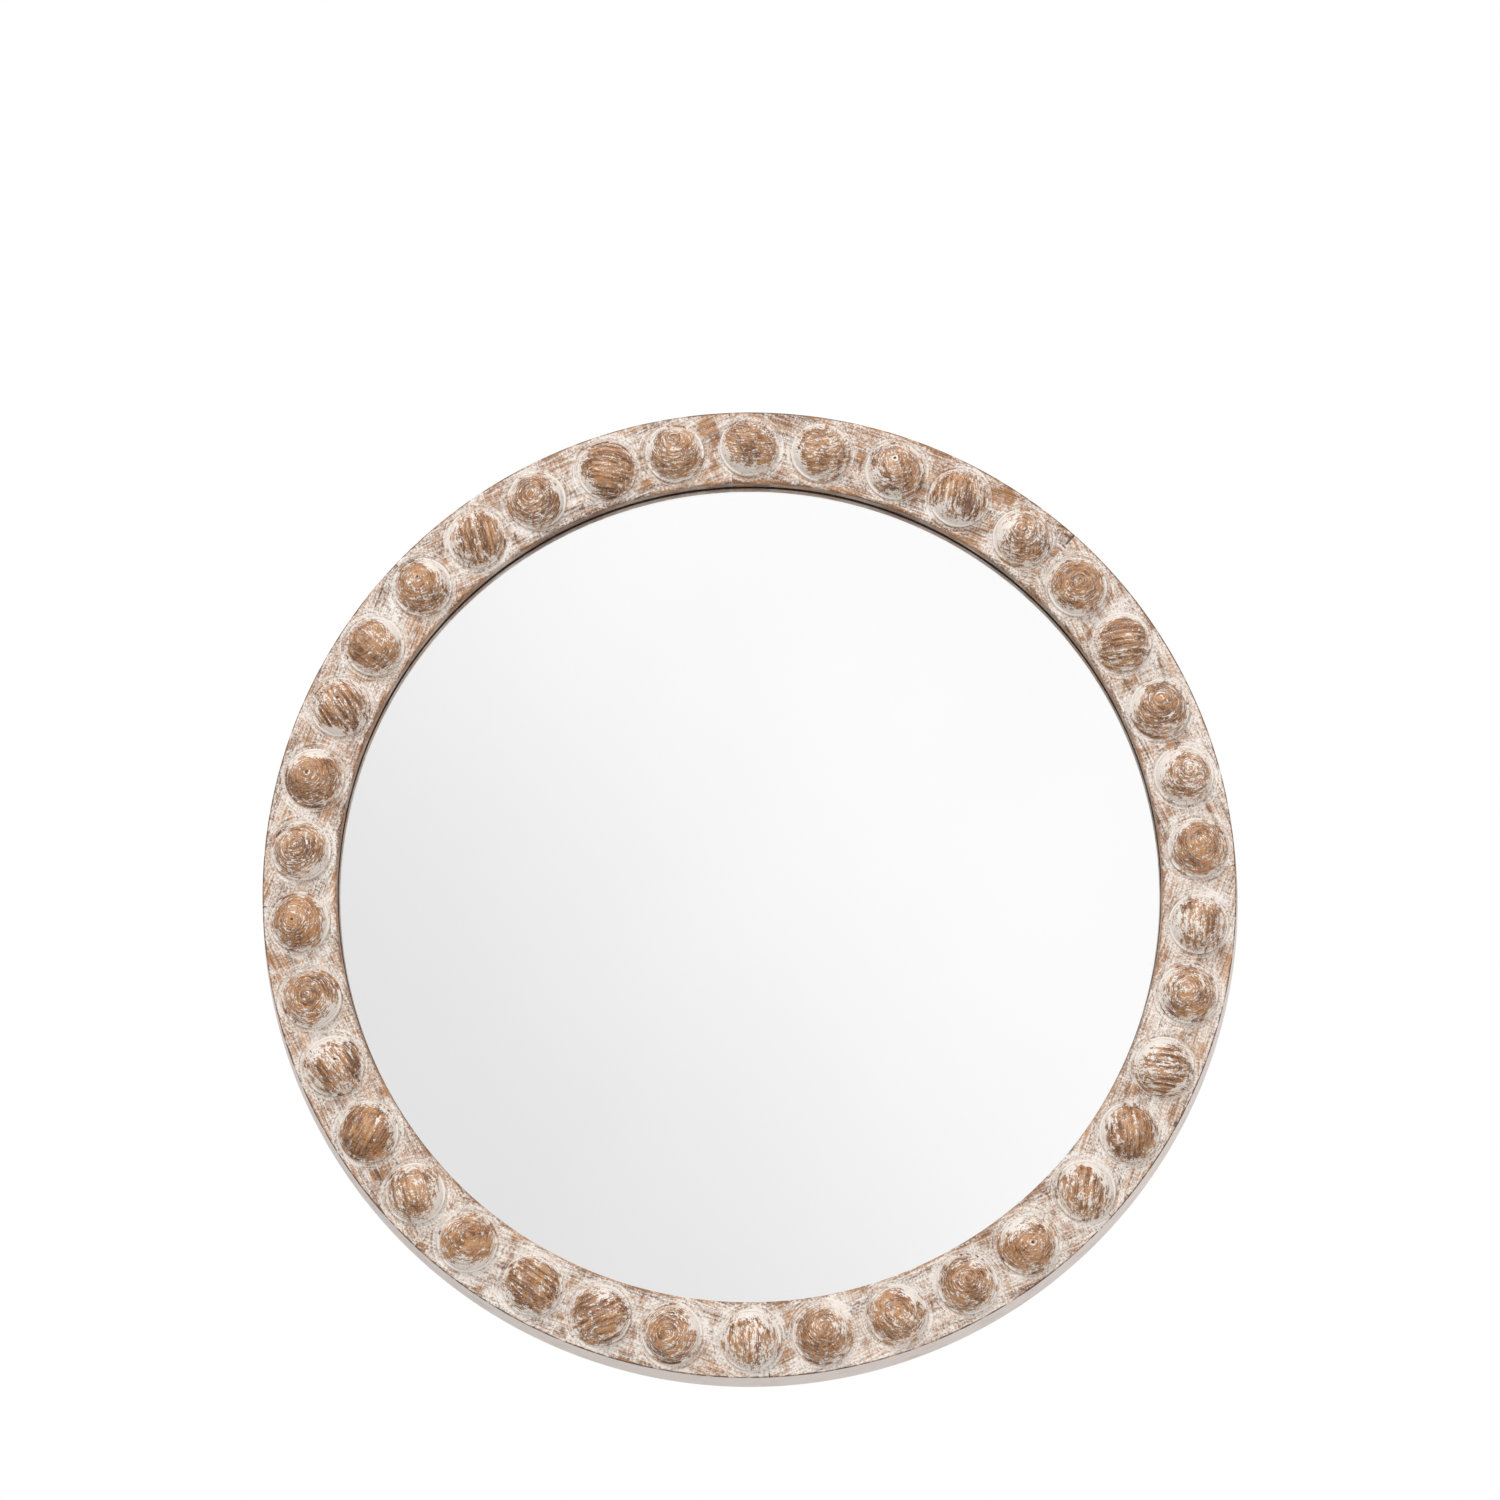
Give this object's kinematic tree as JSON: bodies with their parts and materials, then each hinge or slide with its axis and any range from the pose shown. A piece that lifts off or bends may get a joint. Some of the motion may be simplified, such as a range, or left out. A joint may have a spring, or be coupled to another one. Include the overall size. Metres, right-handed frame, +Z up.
{
  "type": "round wall mirror",
  "caption": "Round wall mirror in a limewashed wooden frame set all round with turned half-ball studs, with swinging hanging rings behind.",
  "frame": {"origin": "middle of the ring on the wall plane, which the bumpers' faces touch", "axes": "+Z up, +Y into the wall, +X to the right of someone looking into the mirror, which faces -Y"},
  "size_m": [0.6088, 0.06, 0.6088],
  "materials": {
    "frame_wood": "white limewash brushed on and rubbed back",
    "stud_wood": "turned wood, limewashed and rubbed back",
    "dowel_wood": "plain",
    "mirror_glass": "silvered float glass",
    "packing_sheet": "thin felt",
    "back_board": "smooth fibreboard",
    "zinc_steel": "zinc plated",
    "nickel_wire": "nickel plated",
    "bumper_rubber": "matt"
  },
  "bodies": {
    "mirror": {"frame_segment_1": "frame_wood", "frame_segment_2": "frame_wood", "frame_segment_3": "frame_wood", "frame_segment_4": "frame_wood", "frame_segment_5": "frame_wood", "frame_segment_6": "frame_wood", "frame_segment_7": "frame_wood", "frame_segment_8": "frame_wood", "stud_01": "stud_wood", "stud_02": "stud_wood", "stud_03": "stud_wood", "stud_04": "stud_wood", "stud_05": "stud_wood", "stud_06": "stud_wood", "stud_07": "stud_wood", "stud_08": "stud_wood", "stud_09": "stud_wood", "stud_10": "stud_wood", "stud_11": "stud_wood", "stud_12": "stud_wood", "stud_13": "stud_wood", "stud_14": "stud_wood", "stud_15": "stud_wood", "stud_16": "stud_wood", "stud_17": "stud_wood", "stud_18": "stud_wood", "stud_19": "stud_wood", "stud_20": "stud_wood", "stud_21": "stud_wood", "stud_22": "stud_wood", "stud_23": "stud_wood", "stud_24": "stud_wood", "stud_25": "stud_wood", "stud_26": "stud_wood", "stud_27": "stud_wood", "stud_28": "stud_wood", "stud_29": "stud_wood", "stud_30": "stud_wood", "stud_31": "stud_wood", "stud_32": "stud_wood", "stud_33": "stud_wood", "stud_34": "stud_wood", "stud_35": "stud_wood", "stud_36": "stud_wood", "stud_37": "stud_wood", "stud_38": "stud_wood", "joint_dowels": "dowel_wood", "mirror_glass": "mirror_glass", "packing_sheet": "packing_sheet", "back_board": "back_board", "board_screws": "zinc_steel", "hanger_screws": "zinc_steel", "hanger_strap_left": "zinc_steel", "hanger_strap_right": "zinc_steel", "wall_bumpers": "bumper_rubber"},
    "left_ring": {"hanger_ring_left": "nickel_wire"},
    "right_ring": {"hanger_ring_right": "nickel_wire"}
  },
  "joints": [
    {"name": "left_ring_swing", "type": "hinge", "parent": "mirror", "child": "left_ring", "pos_m": [-0.25068, -0.0035, 0.14473], "axis": [-0.866, 0, 0.5], "range_deg": [0, 165]},
    {"name": "right_ring_swing", "type": "hinge", "parent": "mirror", "child": "right_ring", "pos_m": [0.25068, -0.0035, 0.14473], "axis": [-0.866, 0, -0.5], "range_deg": [0, 165]}
  ]
}
